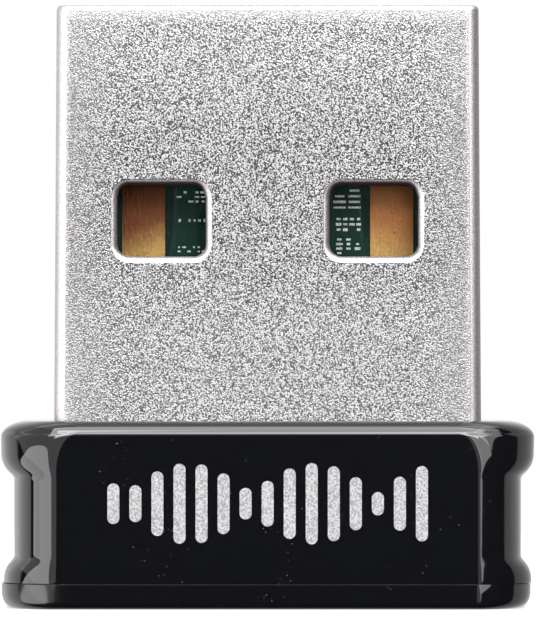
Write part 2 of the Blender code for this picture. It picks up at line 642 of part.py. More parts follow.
def board_parts(black, ceramic, metal, dark):
    """Everything on the back of the board, laid out around the radio chip and centred in the pocket."""
    chip_z = (POCKET_LOW_Z + POCKET_HIGH_Z + CRYSTAL_WIDTH - SMALL_WIDTH) / 2
    edge = CHIP_SIZE / 2 + LEAD_REACH + PART_GAP
    small = (SMALL_LENGTH, SMALL_WIDTH, CAPACITOR_HEIGHT)
    thin = (SMALL_LENGTH, SMALL_WIDTH, RESISTOR_HEIGHT)
    large = (LARGE_LENGTH, LARGE_WIDTH, CHIP_HEIGHT)
    radio_chip(0, chip_z, black)
    crystal(-CRYSTAL_OFFSET, chip_z - edge - CRYSTAL_WIDTH / 2, metal)
    names = [f"capacitor_{i + 1}" for i in range(6)]
    beside = edge + SMALL_WIDTH / 2
    places = [(x, chip_z + row * CAPACITOR_PITCH, True) for x in (-beside, beside) for row in (-1, 0, 1)]
    place_chips(names, small, places, ceramic)
    above = chip_z + edge + SMALL_WIDTH / 2
    places = [(x, above, False) for x in (-SMALL_LENGTH, SMALL_LENGTH)]
    place_chips(["resistor_1", "resistor_2"], thin, places, black)
    below = chip_z - edge - LARGE_LENGTH / 2
    last = POCKET_X - ROW_MARGIN
    place_chips(["supply_capacitor"], large, [(last - 2 * ROW_PITCH, below, True)], ceramic)
    place_chips(["ferrite_bead"], large, [(last - ROW_PITCH, below, True)], dark)
    place_chips(["matching_inductor"], small, [(last, below, True)], dark)


def main():
    for old in list(bpy.data.objects):
        bpy.data.objects.remove(old)
    steel = material("plated_steel", (0.62, 0.62, 0.64), 0.42, 1.0)
    gloss = material("gloss_black_plastic", (0.008, 0.009, 0.011), 0.12, 0.0)
    cream = material("carrier_plastic", (0.75, 0.74, 0.70), 0.5, 0.0)
    mask = material("green_board", (0.01, 0.07, 0.05), 0.35, 0.0)
    gold = material("gold_plating", (0.75, 0.47, 0.16), 0.3, 1.0)
    trace = material("masked_copper", (0.03, 0.16, 0.09), 0.35, 0.0)
    solder = material("solder", (0.65, 0.66, 0.67), 0.3, 1.0)
    black = material("black_resin", (0.02, 0.02, 0.022), 0.55, 0.0)
    ceramic = material("tan_ceramic", (0.42, 0.30, 0.18), 0.5, 0.0)
    dark = material("dark_ferrite", (0.08, 0.08, 0.085), 0.6, 0.0)
    lid = material("nickel_lid", (0.66, 0.65, 0.62), 0.25, 1.0)
    metal_shell(steel)
    housing_body(gloss)
    end_cap(gloss)
    board_carrier(cream)
    circuit_board(mask)
    contacts(gold)
    trace_antenna(trace)
    shell_solder("shell_solder_left", -1, solder)
    shell_solder("shell_solder_right", 1, solder)
    board_parts(black, ceramic, lid, dark)


main()
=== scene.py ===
# %% [markdown]
# # A miniature wireless adapter
#
# The object is a small plug-in adapter, 15 mm wide: a folded metal plug with two punched windows,
# on a short gloss black housing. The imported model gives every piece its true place. This notebook
# gives the pieces their looks: it rebuilds the parts that the eye rests on with finer curves, adds
# the printed and plated detail, and paints every surface with shader nodes.
#
# Lengths are metres. They are written as millimetres times MM, because a drawing of an object this
# small is read in millimetres. The adapter stands on its cap, with the plug up along +Z and its
# printed front towards -Y.

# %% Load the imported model
import math

import bmesh
import bpy
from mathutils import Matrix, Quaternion, Vector


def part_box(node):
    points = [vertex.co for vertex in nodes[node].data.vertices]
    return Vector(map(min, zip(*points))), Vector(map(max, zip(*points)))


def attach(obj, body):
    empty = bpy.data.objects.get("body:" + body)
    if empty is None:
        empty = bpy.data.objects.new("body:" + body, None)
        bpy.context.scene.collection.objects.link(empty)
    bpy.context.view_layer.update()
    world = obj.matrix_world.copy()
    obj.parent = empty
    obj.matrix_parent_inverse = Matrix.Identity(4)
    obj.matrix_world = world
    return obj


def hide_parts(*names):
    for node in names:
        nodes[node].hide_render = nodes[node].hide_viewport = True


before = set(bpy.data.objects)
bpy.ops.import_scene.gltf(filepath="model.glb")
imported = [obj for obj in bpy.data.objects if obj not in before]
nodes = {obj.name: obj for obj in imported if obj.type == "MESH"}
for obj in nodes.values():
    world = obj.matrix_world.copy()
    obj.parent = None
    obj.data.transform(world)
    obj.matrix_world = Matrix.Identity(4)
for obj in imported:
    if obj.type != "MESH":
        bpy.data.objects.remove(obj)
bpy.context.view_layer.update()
MM = 0.001

# %% [markdown]
# ## The sizes that the finer pieces share
#
# A finer copy must lie exactly where its plain piece lies. The sizes here are used by more than
# one piece. The others stand in the cell that needs them first.

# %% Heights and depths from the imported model, and the sizes that pieces share
plug_low, plug_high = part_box("metal_shell")
body_low, body_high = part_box("housing_body")
board_low, board_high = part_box("circuit_board")
FIT = 0.02 * MM  # gap between pieces that touch
TIP_Z = plug_high.z
SHOULDER_Z = body_high.z
SEAM_Z = body_low.z - FIT
PLUG_DEPTH = plug_high.y - plug_low.y
HOUSING_DEPTH = body_high.y - body_low.y

PLUG_WIDTH = 12.0 * MM  # halfway up the plug
PLUG_FLARE = 0.07 * MM  # each side leans out this far between the tip and the shoulder
PLUG_CORNER = 0.35 * MM
WINDOW_Z = TIP_Z - 6.1 * MM
CAVITY_X = 6.175 * MM
CAVITY_Y = PLUG_DEPTH / 2 + 0.4 * MM
CAVITY_CORNER = 0.5 * MM
print(f"shoulder at {SHOULDER_Z / MM:.2f} mm, seam at {SEAM_Z / MM:.2f} mm")

# %% [markdown]
# ## A small helper for node trees
#
# Shader maths is easier to read as Python than as a list of links. `Link` wraps the output of a
# node, and its operators add Math nodes. `Graph.node` makes every other kind of node: its type
# first, then its settings, then its sockets. One pair of classes serves both materials and
# Geometry Nodes, because the Math node is the same in both.


# %% The helper classes
class Link:
    """The output of a node. Its operators add Math nodes to the same tree."""

    def __init__(self, graph, socket):
        self.graph = graph
        self.socket = socket

    def __add__(self, other):
        return self.graph.maths("ADD", self, other)

    def __radd__(self, other):
        return self.graph.maths("ADD", other, self)

    def __sub__(self, other):
        return self.graph.maths("SUBTRACT", self, other)

    def __rsub__(self, other):
        return self.graph.maths("SUBTRACT", other, self)

    def __mul__(self, other):
        return self.graph.maths("MULTIPLY", self, other)

    def __rmul__(self, other):
        return self.graph.maths("MULTIPLY", other, self)

    def __truediv__(self, other):
        return self.graph.maths("DIVIDE", self, other)

    def __abs__(self):
        return self.graph.maths("ABSOLUTE", self)

    def over(self, limit, softness):
        """A mask that rises from 0 to 1 where the value passes a limit."""
        settings = {"interpolation_type": "SMOOTHSTEP"}
        inputs = {"Value": self, "From Min": limit - softness, "From Max": limit + softness}
        return self.graph.node("ShaderNodeMapRange", settings, inputs)


class Graph:
    """A node tree that is built by calls."""

    def __init__(self, tree):
        self.tree = tree

    def node(self, kind, settings=None, inputs=None, output=0):
        made = self.tree.nodes.new(kind)
        for name, value in (settings or {}).items():
            setattr(made, name, value)
        for name, value in (inputs or {}).items():
            self.feed(made.inputs[name], value)
        return Link(self, made.outputs[output])

    def maths(self, operation, *values):
        return self.node("ShaderNodeMath", {"operation": operation}, dict(enumerate(values)))

    def part(self, vector, axis):
        """One number of a vector: its X, Y or Z."""
        return self.node("ShaderNodeSeparateXYZ", inputs={"Vector": vector}, output=axis)

    def feed(self, socket, value):
        """Links a socket to another node's output, or sets its value."""
        if isinstance(value, Link):
            self.tree.links.new(value.socket, socket)
        else:
            socket.default_value = value


class Finish(Graph):
    """A material: its Principled shader, and the patterns that drive it, in Object coordinates."""

    def __init__(self, name, roughness=0.5, metallic=0.0):
        self.material = bpy.data.materials.new(name)
        self.material.use_nodes = True
        super().__init__(self.material.node_tree)
        self.shader = self.tree.nodes["Principled BSDF"]
        self.place = self.node("ShaderNodeTexCoord", output="Object")
        self.set("Roughness", roughness)
        self.set("Metallic", metallic)

    def set(self, name, value):
        self.feed(self.shader.inputs[name], value)

    def noise(self, scale, detail=2.0, place=None):
        """Soft random grey around 0.5. The scale is the number of lumps in a metre."""
        inputs = {"Vector": place or self.place, "Scale": scale, "Detail": detail}
        return self.node("ShaderNodeTexNoise", {"noise_dimensions": "3D"}, inputs)

    def stretched(self, across, along, upward):
        """Object coordinates scaled by an amount for each axis, for brushed or drawn patterns."""
        inputs = {"Vector": self.place, "Scale": (across, along, upward)}
        return self.node("ShaderNodeMapping", {"vector_type": "POINT"}, inputs)

    def axis(self, name):
        """One coordinate of the place, in metres."""
        return self.part(self.place, name)

    def mix(self, mask, first, second):
        """Mixes two colours by a mask."""
        first, second = (c if isinstance(c, Link) else (*c, 1.0) for c in (first, second))
        inputs = {0: mask, 6: first, 7: second}
        return self.node("ShaderNodeMix", {"data_type": "RGBA"}, inputs, output=2)

    def relief(self, height, depth):
        """Bumps the surface by a pattern of heights from 0 to 1 and a depth in metres."""
        inputs = {"Height": height, "Distance": depth}
        self.set("Normal", self.node("ShaderNodeBump", inputs=inputs))


def paint(name, finish):
    """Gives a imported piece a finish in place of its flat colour."""
    mesh = nodes[name].data
    mesh.materials.clear()
    mesh.materials.append(finish.material)


print("helpers ready")

# %% [markdown]
# ## The helpers for meshes
#
# Every moulded or folded piece here is a loft: a stack of closed outlines with the same number of
# points, skinned with quads. A loft is chosen over a primitive with modifiers because each ring can
# follow a formula, so the waist of the housing and the flare of the plug come out exactly as on the
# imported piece, only with more steps.

# %% Outlines, lofts and cuts
ARC_STEPS = 20
FLAT_SUPPORT = 0.03 * MM  # an extra point this far from an arc keeps the flat beside it flat
SHARP_ANGLE = math.radians(30.0)  # an edge that turns more than this is shaded as a crease


def quarter(count=ARC_STEPS):
    """Angles from 0 to a quarter turn."""
    return [math.pi / 2 * i / count for i in range(count + 1)]


def corner_outline(half_x, half_y, run, drop):
    """A rectangle whose corners are quarter ellipses, run wide and drop deep, in order round it."""
    points = []
    for sign_x, sign_y in ((1, -1), (1, 1), (-1, 1), (-1, -1)):
        corner = [Vector((half_x - run - FLAT_SUPPORT, half_y))]
        for angle in quarter():
            x = half_x - run * (1 - math.sin(angle))
            y = half_y - drop * (1 - math.cos(angle))
            corner.append(Vector((x, y)))
        corner = [Vector((sign_x * point.x, sign_y * point.y)) for point in corner]
        points += corner if sign_x * sign_y < 0 else corner[::-1]
    return points


def rounded_rectangle(half_x, half_y, radius):
    """A rectangle whose corners are quarter circles."""
    return corner_outline(half_x, half_y, radius, radius)


def level(outline, z, shift=0.0):
    """An outline laid flat at a height."""
    return [Vector((point.x + shift, point.y, z)) for point in outline]


def upright(outline, y, x, z):
    """An outline stood up in a plane of constant Y."""
    return [Vector((x + point.x, y, z + point.y)) for point in outline]


def skin(rings, joined=False):
    """Quads between neighbouring rings, with flat ends or joined into a ring of rings."""
    bm = bmesh.new()
    loops = [[bm.verts.new(point) for point in ring] for ring in rings]
    pairs = list(zip(loops, loops[1:]))
    if joined:
        pairs.append((loops[-1], loops[0]))
    else:
        bm.faces.new(loops[0])
        bm.faces.new(loops[-1])
    for low, high in pairs:
        for i in range(len(low)):
            j = (i + 1) % len(low)
            bm.faces.new((low[i], low[j], high[j], high[i]))
    bmesh.ops.recalc_face_normals(bm, faces=bm.faces[:])
    return bm


def block(low, high):
    """A plain box between two corners."""
    (x0, y0, z0), (x1, y1, z1) = low, high
    outline = [Vector((x0, y0)), Vector((x1, y0)), Vector((x1, y1)), Vector((x0, y1))]
    return skin([level(outline, z0), level(outline, z1)])


def piece(name, bm, finish=None):
    """A mesh object at the origin, from a bmesh in the adapter's own frame."""
    mesh = bpy.data.meshes.new(name)
    bm.to_mesh(mesh)
    bm.free()
    if finish:
        mesh.materials.append(finish.material)
    made = bpy.data.objects.new(name, mesh)
    bpy.context.scene.collection.objects.link(made)
    return made


def cut(target, tool, operation="DIFFERENCE"):
    """Cuts a tool from a piece, or joins it on."""
    modifier = target.modifiers.new(tool.name, "BOOLEAN")
    modifier.solver = "EXACT"
    modifier.operation = operation
    modifier.object = tool


def with_modifiers(made):
    """The mesh that a piece has once its modifiers have done their work."""
    graph = bpy.context.evaluated_depsgraph_get()
    return bpy.data.meshes.new_from_object(made.evaluated_get(graph))


def settle(made, tools=()):
    """Turns a piece and its modifiers into a plain mesh, with flats shaded flat and rounds smooth."""
    made.data.shade_smooth()
    mesh = with_modifiers(made)
    made.modifiers.clear()
    made.data = mesh
    for tool in tools:
        bpy.data.objects.remove(tool)
    mesh.shade_smooth()
    mesh.set_sharp_from_angle(angle=SHARP_ANGLE)
    weighted = made.modifiers.new("weighted_normals", "WEIGHTED_NORMAL")
    weighted.keep_sharp = True
    weighted.weight = 100
    made.data = with_modifiers(made)
    made.modifiers.clear()
    print(f"{made.name}: {len(made.data.polygons)} faces")
    return made


def hand_over(made, slot, *replaced):
    """Hides the imported pieces that a finished piece replaces, and attaches it to the root body. The
    slot is not used.
    """
    if replaced:
        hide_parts(*replaced)
    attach(made, "root")


# %% [markdown]
# ## Gloss black plastic
#
# The housing is polished black: nearly all that the eye sees on it is the room's reflection. The
# colour stays almost black, the roughness is low, and a very shallow relief gives the faint
# unevenness that every moulding has. A few dust specks are a little lighter and duller. Two noises
# make them: one places specks, and a larger one thins them out over most of the surface. The cap is
# of the same plastic, but its left end has lost some polish, and a reflection there is softer.

# %% Gloss black plastic
WORN_FROM = 5.8 * MM  # to the left of the middle


def gloss_black(name, wear):
    """Black plastic, whose polish is dulled at the left end by an amount of wear."""
    finish = Finish(name)
    specks = finish.noise(14000.0, detail=1.0).over(0.76, 0.02)
    patches = finish.noise(900.0).over(0.58, 0.08)
    dust = specks * patches
    smears = finish.noise(420.0, detail=3.0)
    finish.set("Base Color", finish.mix(dust, (0.0017, 0.0018, 0.0022), (0.05, 0.05, 0.05)))
    worn = wear * (0.0 - finish.axis("X")).over(WORN_FROM, 0.3 * MM)
    finish.set("Roughness", 0.02 + worn + 0.035 * smears + 0.3 * dust)
    finish.relief(finish.noise(900.0, detail=2.0), 0.0006 * MM)
    return finish


body_plastic = gloss_black("gloss_black_body", 0.0)
cap_plastic = gloss_black("gloss_black_cap", 0.16)
print("gloss black plastic")

# %% [markdown]
# ## The housing
#
# The housing is one moulding with flat front and back panels and rounded ends. Each end is drawn in
# to a waist that fingers can grip. The waist is deepest at the ends and fades to nothing where the
# flat panels begin, so it isn't a cut but a change of outline with height. Each ring of the loft
# asks `waist` how far the ends are drawn in at its height. The waist's own corner is eased by
# averaging the formula over a small stretch of height. Near the top the rounded ends reach further
# in, which gives the flat panel its round upper corners.

# %% The outline of the housing at a height
HOUSING_WIDTH = 15.13 * MM
HOUSING_DRAFT = 0.09 * MM
END_RUN = 1.62 * MM
END_ROUND = 2.1 * MM
SHOULDER_DROP = 0.48 * MM
PANEL_CORNER = 1.1 * MM  # height of the round on the flat panel's upper corners
PANEL_CORNER_LEAN = 0.5  # how wide that round is for its height
PANEL_CORNER_START = 0.36 * MM  # how far below the shoulder it is widest
GRIP_DEPTH = 0.385 * MM
GRIP_FROM_TOP = 1.575 * MM
GRIP_FROM_BOTTOM = 0.71 * MM
GRIP_FLANK = 0.62 * MM
GRIP_EASE = 0.08 * MM  # half the height of the small fillet where the waist begins


def waist(z):
    """How far the ends are drawn in, as a share: 1 in the middle, with a round above and below."""
    past = max(z - (SHOULDER_Z - GRIP_FROM_TOP), SEAM_Z + GRIP_FROM_BOTTOM - z, 0.0)
    rest = max(GRIP_FLANK - past, 0.0)
    radius = (GRIP_FLANK**2 + GRIP_DEPTH**2) / (2 * GRIP_DEPTH)
    return (radius - math.sqrt(radius**2 - rest**2)) / GRIP_DEPTH


def eased_waist(z):
    """The waist with a small fillet in place of its corner."""
    count = 8
    return sum(waist(z + GRIP_EASE * (2 * i / count - 1)) for i in range(count + 1)) / (count + 1)


def edge_inset(distance, radius):
    """How far a round edge draws a wall in, at a distance from the flat that it leads to."""
    share = 1 - min(max(distance / radius, 0.0), 1.0)
    return radius * (1 - math.sqrt(1 - share**2))


def housing_outline(z, inset_x=0.0, inset_y=0.0):
    """The outline at a height. The sides have draft, and the waist's floor has none."""
    draft = HOUSING_DRAFT * (SHOULDER_Z - z) / (SHOULDER_Z - SEAM_Z)
    share = eased_waist(z)
    half_x = HOUSING_WIDTH / 2 - draft * (1 - share) - GRIP_DEPTH * share - inset_x
    corner = PANEL_CORNER_LEAN * edge_inset(SHOULDER_Z - PANEL_CORNER_START - z, PANEL_CORNER)
    run = half_x - (HOUSING_WIDTH / 2 - END_RUN) + corner
    return corner_outline(half_x, HOUSING_DEPTH / 2 - inset_y, run, END_ROUND)


def housing_heights():
    """Heights of the rings of the side wall, close together where the waist turns."""
    lower = SEAM_Z + GRIP_FROM_BOTTOM
    upper = SHOULDER_Z - GRIP_FROM_TOP
    corner = [GRIP_EASE * share for share in (0.25, 0.5, 0.75, 1.0, 1.5)]
    heights = [lower - GRIP_FLANK * math.cos(angle) for angle in quarter(14)]
    heights += [lower + height for height in corner]
    heights += [upper - height for height in reversed(corner)]
    heights += [upper + GRIP_FLANK * math.sin(angle) for angle in quarter(14)]
    top = SHOULDER_Z - SHOULDER_DROP
    start = max(heights[-1], top - PANEL_CORNER)
    count = 12
    heights += [start + (top - start) * i / count for i in range(1, count)]
    return heights


print(f"{len(housing_heights())} rings in the side wall")

# %% [markdown]
# The wall's rings alone would make a tube. The soft shoulder goes on above them, and the slot for
# the plug and the cavity follow downwards inside, until the last ring joins the first one at the
# seam. A moulding is such a wall that is closed on itself, so one loft makes all of it.

# %% The housing's mesh
EDGE_ROUND = 0.42 * MM
SHOULDER_RUN = 0.85 * MM
SLOT_LEAD = 0.06 * MM
CEILING_Z = SHOULDER_Z - 1.1 * MM
SEAM_LIP = 0.005 * MM  # the moulded edge at the seam is never quite sharp


def shoulder_rings():
    """The soft upper edge: long and low at the ends, tight along the front and back."""
    rings = []
    for angle in quarter(26):
        drop = SHOULDER_DROP * (1 - math.sin(angle))
        inset_x = SHOULDER_RUN * (1 - math.cos(angle))
        outline = housing_outline(SHOULDER_Z - drop, inset_x, edge_inset(drop, EDGE_ROUND))
        rings.append(level(outline, SHOULDER_Z - drop))
    return rings


def slot_rings():
    """The slot that the plug goes into, with a small lead, and the cavity below it."""
    half_x = PLUG_WIDTH / 2 + PLUG_FLARE / 2 + FIT
    half_y = PLUG_DEPTH / 2 + FIT
    radius = PLUG_CORNER + FIT
    rings = []
    for angle in quarter(4):
        grow = SLOT_LEAD * (1 - math.sin(angle))
        drop = SLOT_LEAD * (1 - math.cos(angle))
        outline = rounded_rectangle(half_x + grow, half_y + grow, radius + grow)
        rings.append(level(outline, SHOULDER_Z - drop))
    rings.append(level(rounded_rectangle(half_x, half_y, radius), CEILING_Z))
    cavity = rounded_rectangle(CAVITY_X, CAVITY_Y, CAVITY_CORNER)
    rings.append(level(cavity, CEILING_Z))
    rings.append(level(cavity, SEAM_Z + FIT))
    return rings


def lip_rings(z, direction, overhang=0.0, shift=0.0):
    """The small round on the outer edge at the seam, from the face to the wall."""
    rings = []
    for angle in quarter(5):
        inset = SEAM_LIP * (1 - math.sin(angle))
        height = z + direction * SEAM_LIP * (1 - math.cos(angle))
        rings.append(level(housing_outline(height, inset - overhang, inset), height, shift))
    return rings


rings = lip_rings(SEAM_Z + FIT, 1)
rings += [level(housing_outline(z), z) for z in housing_heights()]
rings += shoulder_rings() + slot_rings()
housing = settle(piece("housing_moulding", skin(rings, joined=True), body_plastic))
hand_over(housing, "gloss_black_plastic", "housing_body")

# %% [markdown]
# ## The end cap
#
# The cap closes the housing from below. It is a plate with the same outline, a soft lower edge, a
# skirt that enters the housing, and two slotted posts that hold the foot of the board. The skirt
# and posts are inside, and they are kept because a piece without them would say something untrue
# about the object.

# %% The cap's mesh
CAP_ROUND = 0.22 * MM
CAP_END_RISE = 0.45 * MM
CAP_END_RUN = 0.33 * MM
CAP_OVERHANG = 0.02 * MM
CAP_SHIFT = -0.04 * MM  # the cap sits a hair to the left
CAP_TOP_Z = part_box("end_cap")[1].z
SKIRT_WALL = 0.45 * MM
POST_RISE = 0.4 * MM  # the posts end this far above the skirt
POST_X = 4.715 * MM
POST_HALF_WIDTH = 0.5 * MM
POST_HALF_DEPTH = 1.2 * MM


def cap_rings():
    """The plate from its lower face to the seam, then the skirt outside and inside."""
    rings = []
    for angle in quarter(20):
        z = CAP_END_RISE * (1 - math.cos(angle))
        inset_x = CAP_END_RUN * (1 - math.sin(angle)) - CAP_OVERHANG
        rings.append(level(housing_outline(z, inset_x, edge_inset(z, CAP_ROUND)), z, CAP_SHIFT))
    rings += lip_rings(SEAM_Z, -1, CAP_OVERHANG, CAP_SHIFT)[::-1]
    top = CAP_TOP_Z - POST_RISE
    outer = rounded_rectangle(CAVITY_X - FIT, CAVITY_Y - FIT, CAVITY_CORNER - FIT)
    hollow_x, hollow_y = CAVITY_X - FIT - SKIRT_WALL, CAVITY_Y - FIT - SKIRT_WALL
    inner = rounded_rectangle(hollow_x, hollow_y, SKIRT_WALL / 4)
    rings += [level(outer, SEAM_Z), level(outer, top), level(inner, top), level(inner, SEAM_Z)]
    return rings


def add_posts(cap):
    """Two posts, each with a groove for the board's foot."""
    middle = (board_low.y + board_high.y) / 2
    groove = (board_high.y - board_low.y) / 2 + FIT
    tools = []
    for x in (-POST_X, POST_X):
        low = (x - POST_HALF_WIDTH, middle - POST_HALF_DEPTH, SEAM_Z / 2)
        high = (x + POST_HALF_WIDTH, middle + POST_HALF_DEPTH, CAP_TOP_Z)
        tools.append(piece("post", block(low, high)))
        cut(cap, tools[-1], "UNION")
        low = (x - 2 * POST_HALF_WIDTH, middle - groove, board_low.z - FIT)
        high = (x + 2 * POST_HALF_WIDTH, middle + groove, 2 * CAP_TOP_Z)
        tools.append(piece("groove", block(low, high)))
        cut(cap, tools[-1])
    return tools


cap = piece("cap_moulding", skin(cap_rings()), cap_plastic)
settle(cap, add_posts(cap))
hand_over(cap, "gloss_black_plastic", "end_cap")

# %% [markdown]
# ## Plated steel
#
# The plug's shell has a satin plating with a fine, even grain, so fine that it sparkles: next to
# each bright grain lies a dark one. A noise with about twenty lumps to a millimetre tilts the
# surface through a bump, and the same noise, sharpened, varies how bright and how rough each grain
# is. Where the sheet is rolled over, at a window's rim or at the mouth, the grain is pressed flat,
# and the lighter colour there is a painted highlight. The surface normal tells where that is, and
# also which rims face down: those are painted darker and redder, as painted shade.
# Towards the sides the grain is calmer. Along the folds and at the tip a painted highlight makes it
# lighter, and in a band round the windows painted shade makes it darker, standing in for the dark
# reflection of the room in the middle of the plate.

# %% Plated steel
GRAINS = 21000.0  # in a metre
FINER_GRAINS = 34000.0
DARK_GRAIN = (0.055, 0.055, 0.057)
BRIGHT_GRAIN = (0.31, 0.306, 0.31)
# the grain's colours in the band of painted shade round the windows
DARK_GRAIN_IN_SHADE = (0.026, 0.025, 0.027)
BRIGHT_GRAIN_IN_SHADE = (0.285, 0.279, 0.282)
# the rolled rims' colours, lighter than the grain: a painted highlight
DARK_RIM_HIGHLIGHT = (0.29, 0.27, 0.275)
BRIGHT_RIM_HIGHLIGHT = (0.47, 0.442, 0.447)
# painted shade on the rims that face down
SHADED_LOWER_RIM = (0.10, 0.065, 0.065)
# a painted highlight along the folds and at the tip
FOLD_HIGHLIGHT = (0.42, 0.40, 0.405)
CALM_FROM = 4.9 * MM  # from the middle to the side
FOLD_FROM = 5.7 * MM
TIP_BAND = 0.34 * MM
# the band of painted shade: its middle and its reach
SHADE_BAND_Z = WINDOW_Z + 0.9 * MM
SHADE_BAND_REACH = 2.9 * MM


def plated_steel():
    """Satin plating, sparkling on the flats and smooth on the rims, with painted highlights and shade.
    """
    finish = Finish("plated_steel", metallic=1.0)
    facing = finish.node("ShaderNodeTexCoord", output="Normal")
    normal_x, normal_y, normal_z = (finish.part(facing, axis) for axis in "XYZ")
    flat = finish.maths("MAXIMUM", abs(normal_x), abs(normal_y)).over(0.985, 0.012)
    # painted shade: rims that face down get a darker colour
    under = (0.0 - normal_z).over(0.45, 0.2)
    grain = finish.noise(GRAINS, detail=1.5)
    second = finish.noise(FINER_GRAINS, detail=0.0)
    fine = 0.65 * grain + 0.35 * second
    aside = abs(finish.axis("X"))
    upward = finish.axis("Z")
    calm = 0.5 * aside.over(CALM_FROM, 1.0 * MM)
    tip = upward.over(TIP_Z - TIP_BAND, 0.3 * MM)
    # where the painted highlight lies: the side folds and the tip
    fold_highlight = 0.45 * finish.maths("MAXIMUM", aside.over(FOLD_FROM, 0.2 * MM), tip)
    sharp = calm * 0.5 + (1.0 - calm) * fine.over(0.508, 0.075)
    # painted shade in a band round the windows, for the dark reflection of the room
    shade_band = (SHADE_BAND_REACH - abs(upward - SHADE_BAND_Z)).over(0.0, 1.8 * MM)
    dark = finish.mix(shade_band, DARK_GRAIN, DARK_GRAIN_IN_SHADE)
    bright = finish.mix(shade_band, BRIGHT_GRAIN, BRIGHT_GRAIN_IN_SHADE)
    # the rims: painted highlight, with painted shade where they face down
    pressed = finish.mix(under, finish.mix(sharp, DARK_RIM_HIGHLIGHT, BRIGHT_RIM_HIGHLIGHT), SHADED_LOWER_RIM)
    grained = finish.mix(fold_highlight, finish.mix(sharp, dark, bright), FOLD_HIGHLIGHT)
    finish.set("Base Color", finish.mix(flat, pressed, grained))
    finish.set("Roughness", 0.5 + flat * (0.02 - 0.14 * sharp))
    finish.relief(fine * (0.3 + 0.7 * flat), 0.016 * MM)
    return finish


steel = plated_steel()
print("plated steel")

# %% [markdown]
# ## The folded shell
#
# The shell is one strip of sheet, folded into a box whose ends meet in a dovetailed seam at the
# back. Its mouth is coined, so the edge is round outside and bevelled inside. The four windows are
# punched from outside, which rolls their edges inwards. The loft makes the box, and Boolean cuts
# make the windows and the seam, as punches do.

# %% The shell's rings and the punch
ROOT_Z = SHOULDER_Z - 1.9 * MM  # the sheet goes on inside the housing
SHEET = 0.3 * MM
MOUTH_ROUND = 0.14 * MM
MOUTH_LEAD = 0.08 * MM
WINDOW_WIDTH = 2.5 * MM
WINDOW_HEIGHT = 2.0 * MM
WINDOW_PITCH = 6.0 * MM
WINDOW_CORNER = 0.35 * MM
WINDOW_ROLL = 0.2 * MM
ROLL_END = math.radians(84.0)  # the punch stops rolling the edge just before it is flat


def plug_outline(z, inset):
    """The plug's outline at a height, moved in by an inset."""
    middle = (SHOULDER_Z + TIP_Z) / 2
    lean = PLUG_FLARE * (middle - max(z, SHOULDER_Z)) / (TIP_Z - SHOULDER_Z)
    radius = PLUG_CORNER - min(inset, SHEET)
    return rounded_rectangle(PLUG_WIDTH / 2 + lean - inset, PLUG_DEPTH / 2 - inset, radius)


def shell_rings():
    """The sheet from its root up the outside, over the coined mouth and down the inside."""
    rings = [level(plug_outline(z, 0.0), z) for z in (ROOT_Z, SHOULDER_Z)]
    for angle in quarter(8):
        z = TIP_Z - MOUTH_ROUND * (1 - math.sin(angle))
        rings.append(level(plug_outline(z, MOUTH_ROUND * (1 - math.cos(angle))), z))
    rings.append(level(plug_outline(TIP_Z, SHEET - MOUTH_LEAD), TIP_Z))
    rings += [level(plug_outline(z, SHEET), z) for z in (TIP_Z - MOUTH_LEAD, SHOULDER_Z, ROOT_Z)]
    return rings


def window_punch(x, side):
    """A punch whose skirt widens outwards, so that it leaves a rolled edge."""
    surface = PLUG_DEPTH / 2
    count = 10
    stations = [(0.0, surface - 2 * SHEET)]
    for i in range(count + 1):
        turn = ROLL_END * i / count
        grow = WINDOW_ROLL * (1 - math.cos(turn))
        stations.append((grow, surface - WINDOW_ROLL * (1 - math.sin(turn))))
    grow, depth = stations[-1]
    rise = surface + WINDOW_ROLL / 8 - depth
    stations.append((grow + rise * math.tan(ROLL_END), depth + rise))
    rings = []
    for grow, y in stations:
        half_x, half_z = WINDOW_WIDTH / 2 + grow, WINDOW_HEIGHT / 2 + grow
        outline = rounded_rectangle(half_x, half_z, WINDOW_CORNER + grow)
        rings.append(upright(outline, side * y, x, WINDOW_Z))
    return piece("window_punch", skin(rings))


print(f"{len(shell_rings())} rings in the shell")

# %% [markdown]
# At the back the two ends of the sheet meet, and two dovetails lock them. The gap between them is
# what shows, so the seam is cut as one thin zigzag blade. Below, two tongues of sheet reach down to
# the board, where they are soldered. They are joined on, so that the shell stays one piece.

# %% The seam and the solder tabs
SEAM_GAP = 0.06 * MM
DOVETAIL_DROPS = (9.3 * MM, 3.0 * MM)  # below the tip
DOVETAIL_REACH = 1.1 * MM
DOVETAIL_ROOT = 0.5 * MM
DOVETAIL_HEAD = 0.8 * MM
TAB_HALF_WIDTH = 0.9 * MM
TAB_Y = 0.2 * MM


def strip_outline(path, width):
    """The outline of a strip of constant width along a path, with mitred corners."""
    left, right = [], []
    for i, point in enumerate(path):
        before = (point - path[i - 1]).normalized() if i else None
        after = (path[i + 1] - point).normalized() if i < len(path) - 1 else None
        before = before or after
        after = after or before
        mitre = (before + after).normalized()
        normal = Vector((-mitre.y, mitre.x))
        reach = width / 2 / normal.dot(Vector((-before.y, before.x)))
        left.append(point + normal * reach)
        right.append(point - normal * reach)
    return left + right[::-1]


